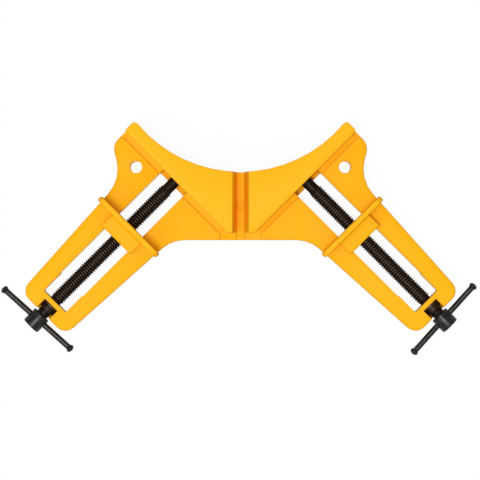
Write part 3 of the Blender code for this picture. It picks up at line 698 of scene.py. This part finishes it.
def thread_points(sizes, start, end):
    """The threaded stretch as rows that follow the helix: a row's u falls by one pitch in one
    turn, and its radius is the thread's profile at the row's phase. Rows past either end are held
    at that end, so that they close onto the plain ring there."""
    crest, pitch = sizes.thread_radius, sizes.thread_pitch
    root = crest - sizes.thread_depth
    heights = np.interp(THREAD_PHASES, *THREAD_CORNERS)
    turns = math.ceil((end - start) / pitch) + 2
    row_u = (np.arange(-1, turns)[:, None] + THREAD_PHASES).ravel() * pitch + start
    row_height = np.tile(heights, turns + 1)
    angle = np.linspace(0, 2 * np.pi, sizes.thread_columns + 1)
    u = row_u[:, None] - pitch * angle / (2 * np.pi) + pitch
    inside = np.clip(u, start, end)
    runout = THREAD_RUNOUT * pitch
    ramp = np.clip((inside - start) / runout, 0, 1) * np.clip((end - inside) / runout, 0, 1)
    radius = root + (crest - root) * row_height[:, None] * ramp
    return np.stack([inside, radius * np.cos(angle), radius * np.sin(angle)], axis=-1)


def tip_profile(sizes, start):
    """From the tip's end past the clip's groove to the thread's first ring."""
    tip, groove = sizes.tip_radius, sizes.groove_radius
    groove_low, groove_high = CLIP_LOW.x - FIT, CLIP_HIGH.x + FIT
    cut = 0.1 * MM
    return softened(
        [
            (SCREW_LOW.x, 0, 0),
            (SCREW_LOW.x, tip, 0.6 * MM),
            (groove_low, tip, cut),
            (groove_low, groove, cut),
            (groove_high, groove, cut),
            (groove_high, tip, cut),
            (start - 0.6 * MM, tip, 0.35 * MM),
            (start, sizes.thread_radius - sizes.thread_depth, 0),
        ]
    )


def neck_profile(sizes, end):
    """From the thread's last ring past the collar to the spigot's end inside the hub."""
    neck, spigot, collar = sizes.neck_radius, sizes.spigot_radius, SCREW_HIGH.y
    collar_low = WASHER_HIGH.x + GAP
    collar_high = collar_low + sizes.collar_length
    shoulder = HUB_LOW.x - GAP
    return softened(
        [
            (end, sizes.thread_radius - sizes.thread_depth, 0),
            (end + 0.5 * MM, neck, 0.2 * MM),
            (collar_low, neck, 0.1 * MM),
            (collar_low, collar, 0.35 * MM),
            (collar_high, collar, 0.6 * MM),
            (collar_high, neck, 0.2 * MM),
            (shoulder, neck, 0.2 * MM),
            (shoulder, spigot, 0.1 * MM),
            (SCREW_HIGH.x, spigot, 0.6 * MM),
            (SCREW_HIGH.x, 0, 0),
        ]
    )


class CLAMP_OT_screws(bpy.types.Operator):
    """Cut the screws with their threads, tips, collars and necks"""

    bl_idname = "clamp.screws"
    bl_label = "Screws"

    def execute(self, context):
        sizes = context.scene.corner_clamp.sizes
        start, end = sizes.thread_start, WASHER_LOW.x - sizes.thread_stop
        points = np.concatenate(
            [
                turned_points(tip_profile(sizes, start), sizes.thread_columns, seam=True),
                thread_points(sizes, start, end),
                turned_points(neck_profile(sizes, end), sizes.thread_columns, seam=True),
            ]
        )
        for side in SIDES:
            mesh = on_axis(side, grid_mesh(f"{side}_screw_threaded", points, around=False))
            new_piece(smooth(mesh, 50), f"{side}_screw", "screw_black", f"{side}_screw")
        return {"FINISHED"}


def bored(mesh, radius, u, length=30 * MM):
    """Cuts a round hole across a turned mesh at u, with an exact Boolean, and returns it."""
    name = mesh.name
    mesh.name = "blank"
    blank = bpy.data.objects.new("blank", mesh)
    shape = bmesh.new()
    bmesh.ops.create_cone(
        shape, cap_ends=True, segments=48, radius1=radius, radius2=radius, depth=length
    )
    across = Vector((0, 1, 0)).to_track_quat("Z", "Y").to_matrix().to_4x4()
    shape.transform(Matrix.Translation((u, 0, 0)) @ across)
    drill = bpy.data.objects.new("drill", bpy.data.meshes.new("drill"))
    shape.to_mesh(drill.data)
    shape.free()
    for obj in (blank, drill):
        bpy.context.scene.collection.objects.link(obj)
    cut = blank.modifiers.new("Hole", "BOOLEAN")
    cut.solver = "EXACT"
    cut.object = drill
    bpy.context.view_layer.update()
    graph = bpy.context.evaluated_depsgraph_get()
    result = bpy.data.meshes.new_from_object(blank.evaluated_get(graph))
    for obj in (blank, drill):
        used = obj.data
        bpy.data.objects.remove(obj)
        bpy.data.meshes.remove(used)
    result.name = name
    return result


class CLAMP_OT_hubs(bpy.types.Operator):
    """Turn the hubs on the screws' ends, bored for the bars and the pins"""

    bl_idname = "clamp.hubs"
    bl_label = "Hubs and their pins"

    def execute(self, context):
        sizes = context.scene.corner_clamp.sizes
        radius, bore = HUB_HIGH.y, sizes.spigot_radius + FIT
        hub = softened(
            [
                (HUB_LOW.x, bore, 0),
                (HUB_LOW.x, radius, 0.7 * MM),
                (HUB_HIGH.x, radius, 1.0 * MM),
                (HUB_HIGH.x, bore, 0),
            ],
            5,
        )
        hub = turned_points(np.concatenate([hub, hub[:1]]), sizes.turned_columns)
        for side in SIDES:
            pin_low, pin_high = arm_box(side, "hub_pin")
            pin_u = (pin_low.x + pin_high.x) / 2
            pin_radius = (pin_high.z - pin_low.z) / 2
            mesh = grid_mesh(f"{side}_hub_turned", hub)
            mesh = bored(mesh, sizes.bar_hole_radius, HUB_LOW.x + sizes.bar_inset)
            mesh = bored(mesh, pin_radius + FIT / 2, pin_u)
            mesh = smooth(on_axis(side, mesh))
            new_piece(mesh, f"{side}_screw", "handle_black", f"{side}_hub")

            half = (pin_high.y - pin_low.y) / 2
            edge = 0.3 * MM
            pin = softened(
                [(-half, 0, 0), (-half, pin_radius, edge), (half, pin_radius, edge), (half, 0, 0)]
            )
            mesh = grid_mesh(f"{side}_hub_pin_round", turned_points(pin, sizes.pin_columns))
            mesh.transform(Matrix.Rotation(math.radians(90), 4, "Z"))
            mesh.transform(Matrix.Translation((pin_u, 0, 0)))
            mesh = smooth(on_axis(side, mesh))
            new_piece(mesh, f"{side}_screw", "zinc", f"{side}_hub_pin")
        return {"FINISHED"}


def along_bar(side, mesh, inset):
    """Lays a mesh drawn along u onto the bar, with its middle on the screw's axis and u towards
    the bar's pressed-on end."""
    direction = Vector(joints[f"{side}_bar_slide"]["axis"])
    middle = ARMS[side] @ Vector((HUB_LOW.x + inset, 0, AXIS_Z))
    turn = direction.to_track_quat("X", "Z").to_matrix().to_4x4()
    mesh.transform(Matrix.Translation(middle) @ turn)
    return mesh


def bar_end(sizes, seam, half):
    """The profile of a bar's end from the seam on: its radius swells on a half cosine from the
    bar's to the flare's, and closes on a quarter of an ellipse."""
    bar, flare, length = sizes.bar_radius, sizes.flare_radius, sizes.flare_round
    widest = half - length
    share = np.linspace(0, 1, 9)[:, None]
    swell = bar + (flare - bar) * (1 - np.cos(np.pi * share)) / 2
    turn = share[1:] * np.pi / 2
    return np.concatenate(
        [
            np.hstack([seam + (widest - seam) * share, swell]),
            np.hstack([widest + length * np.sin(turn), flare * np.cos(turn)]),
        ]
    )


class CLAMP_OT_bars(bpy.types.Operator):
    """Forge the tommy bars, flared at one end, and the ends pressed on the other"""

    bl_idname = "clamp.bars"
    bl_label = "Tommy bars and their ends"

    def execute(self, context):
        sizes = context.scene.corner_clamp.sizes
        half = sizes.bar_length / 2
        seam = half - sizes.flare_length
        end = bar_end(sizes, seam, half)
        pressed = np.concatenate([[(seam, 0)], end])
        foot = seam - 0.05 * MM
        bar = np.concatenate([end[::-1] * (-1, 1), [(foot, sizes.bar_radius), (foot, 0)]])
        for side in SIDES:
            for name, profile, node in (
                (f"{side}_bar_turned", bar, f"{side}_tommy_bar"),
                (f"{side}_ball_turned", pressed, f"{side}_bar_ball"),
            ):
                mesh = grid_mesh(name, turned_points(profile, sizes.turned_columns // 2))
                mesh = smooth(along_bar(side, mesh, sizes.bar_inset), 50)
                new_piece(mesh, f"{side}_bar", "handle_black", node)
        return {"FINISHED"}


class CLAMP_OT_hardware(bpy.types.Operator):
    """Finish the small steel pieces: clips, washers, keeper plates and their screws"""

    bl_idname = "clamp.hardware"
    bl_label = "Clips, washers and keepers"

    def execute(self, context):
        for side in SIDES:
            for node in ("tip_clip", "keeper_plate", "keeper_screw_1", "keeper_screw_2"):
                dress(f"{side}_{node}", "zinc")
            dress(f"{side}_thrust_washer", "screw_black")
        return {"FINISHED"}


def dress(node, slot):
    """Gives a CAD node its slot's finish and leaves its shape."""
    piece = frame["nodes"][node]
    piece.data.materials.clear()
    piece.data.materials.append(finish_of(slot))


# Stage

def white_floor():
    """A matt card. Seen straight, in gloss or through glass, most of it is plain white, so that
    the background stays white and keeps only a trace of the clamp's shadow. What it throws back
    up is less, as from a pale bench. From below it is clear, so that the underside shows."""
    material, tree = blank_material("white_card")
    rays = add_node(tree, "ShaderNodeLightPath").outputs
    seen = rays["Is Camera Ray"]
    for kind in ("Is Glossy Ray", "Is Transmission Ray"):
        seen = add_node(
            tree, "ShaderNodeMath", {0: seen, 1: rays[kind]}, operation="MAXIMUM"
        ).outputs[0]
    share = add_node(tree, "ShaderNodeMath", {0: seen, 1: 0.94}, operation="MULTIPLY").outputs[0]
    colour = add_node(
        tree,
        "ShaderNodeMix",
        {FACTOR: seen, FIRST: linear("#8C8C8C"), SECOND: linear("#E8E8E8")},
        data_type="RGBA",
    ).outputs[MIXED]
    card = add_node(tree, "ShaderNodeBsdfDiffuse", {"Color": colour})
    glow = add_node(tree, "ShaderNodeEmission", {"Color": linear("#FFFFFF"), "Strength": 1.01})
    above = add_node(
        tree, "ShaderNodeMixShader", {0: share, 1: card.outputs[0], 2: glow.outputs[0]}
    )
    below = add_node(tree, "ShaderNodeNewGeometry").outputs["Backfacing"]
    clear = add_node(tree, "ShaderNodeBsdfTransparent")
    sided = add_node(
        tree, "ShaderNodeMixShader", {0: below, 1: above.outputs[0], 2: clear.outputs[0]}
    )
    add_node(tree, "ShaderNodeOutputMaterial", {"Surface": sided.outputs[0]})
    return material


def lay_floor(reach=1.5, under=0.05 * MM):
    """A square floor just under the clamp, so that it doesn't touch the casting's foot."""
    mesh = bpy.data.meshes.new("floor")
    corners = [(x * reach, y * reach, -under) for x, y in ((-1, -1), (1, -1), (1, 1), (-1, 1))]
    mesh.from_pydata(corners, [], [(0, 1, 2, 3)])
    mesh.materials.append(white_floor())
    floor = bpy.data.objects.new("floor", mesh)
    bpy.context.scene.collection.objects.link(floor)


def light_sky(scene, strength):
    """An even white sky, which the camera sees at full white."""
    world = scene.world or bpy.data.worlds.new("studio")
    scene.world = world
    world.use_nodes = True
    tree = world.node_tree
    background = tree.nodes["Background"]
    background.inputs["Color"].default_value = linear("#FFFFFF")
    seen = add_node(tree, "ShaderNodeLightPath").outputs["Is Camera Ray"]
    light = add_node(tree, "ShaderNodeMapRange", {"Value": seen, "To Min": strength})
    tree.links.new(light.outputs["Result"], background.inputs["Strength"])


def area_lamp(name, place, size, watts):
    """A square lamp that points at the frame's origin."""
    lamp = bpy.data.lights.new(name, "AREA")
    lamp.shape = "SQUARE"
    lamp.size = size
    lamp.energy = watts
    obj = bpy.data.objects.new(name, lamp)
    obj.location = place
    obj.rotation_mode = "QUATERNION"
    obj.rotation_quaternion = (-place).to_track_quat("-Z", "Y")
    bpy.context.scene.collection.objects.link(obj)


def set_camera(scene, stage, pad_height):
    """A camera straight above, turned so that both arms point down the picture. Its lens gives
    the view's width at the height of the pads."""
    camera = bpy.data.objects.new("camera", bpy.data.cameras.new("camera"))
    scene.collection.objects.link(camera)
    scene.camera = camera
    fence = {side: Vector(mounts[f"{side}_fence_face"]["pos_m"]) for side in SIDES}
    apex = Vector((fence["left"].x, fence["right"].y, 0))
    camera.location = apex + Vector(stage.camera_aim) + UP * stage.camera_height
    camera.rotation_euler = Matrix((PHOTO_RIGHT, PHOTO_UP, UP)).transposed().to_euler()
    sensor = 36
    camera.data.sensor_width = sensor
    camera.data.lens = sensor * (stage.camera_height - pad_height) / stage.view_width
    camera.data.clip_end = 20


class CLAMP_OT_stage(bpy.types.Operator):
    """Set the floor, the lamps and the camera straight above the clamp"""

    bl_idname = "clamp.stage"
    bl_label = "Stage"

    def execute(self, context):
        scene = context.scene
        settings = scene.corner_clamp
        stage = settings.stage
        lay_floor()
        light_sky(scene, stage.sky_strength)
        # Both lamps hang towards the picture's lower left
        aside = -PHOTO_RIGHT - PHOTO_UP
        area_lamp("overhead", aside * 0.3 + UP * 3.0, 0.7, stage.overhead_power)
        area_lamp("key", aside * 0.9 + UP * 2.1, 1.7, stage.key_power)
        set_camera(scene, stage, settings.sizes.pad_height)
        scene.view_settings.view_transform = "Standard"
        return {"FINISHED"}


OPERATORS = (
    CLAMP_OT_corner_casting,
    CLAMP_OT_jaws,
    CLAMP_OT_screws,
    CLAMP_OT_hubs,
    CLAMP_OT_bars,
    CLAMP_OT_hardware,
    CLAMP_OT_stage,
)


class CLAMP_PT_panel(bpy.types.Panel):
    """Lists the clamp's pieces and their settings"""

    bl_label = "Corner Clamp"
    bl_idname = "CLAMP_PT_panel"
    bl_space_type = "VIEW_3D"
    bl_region_type = "UI"
    bl_category = "Corner Clamp"

    def draw(self, context):
        settings = context.scene.corner_clamp
        for group in (settings.finishes, settings.sizes, settings.stage):
            for name in group.__annotations__:
                self.layout.prop(group, name)
        for operator in OPERATORS:
            self.layout.operator(operator.bl_idname)


CLASSES = (
    ClampFinishes,
    ClampSizes,
    ClampStage,
    ClampSettings,
    *OPERATORS,
    CLAMP_PT_panel,
)


def register():
    for cls in CLASSES:
        bpy.utils.register_class(cls)
    bpy.types.Scene.corner_clamp = PointerProperty(type=ClampSettings)


def unregister():
    del bpy.types.Scene.corner_clamp
    for cls in reversed(CLASSES):
        bpy.utils.unregister_class(cls)


def main():
    register()
    for operator in OPERATORS:
        group, name = operator.bl_idname.split(".")
        getattr(getattr(bpy.ops, group), name)()


if __name__ == "__main__":
    main()
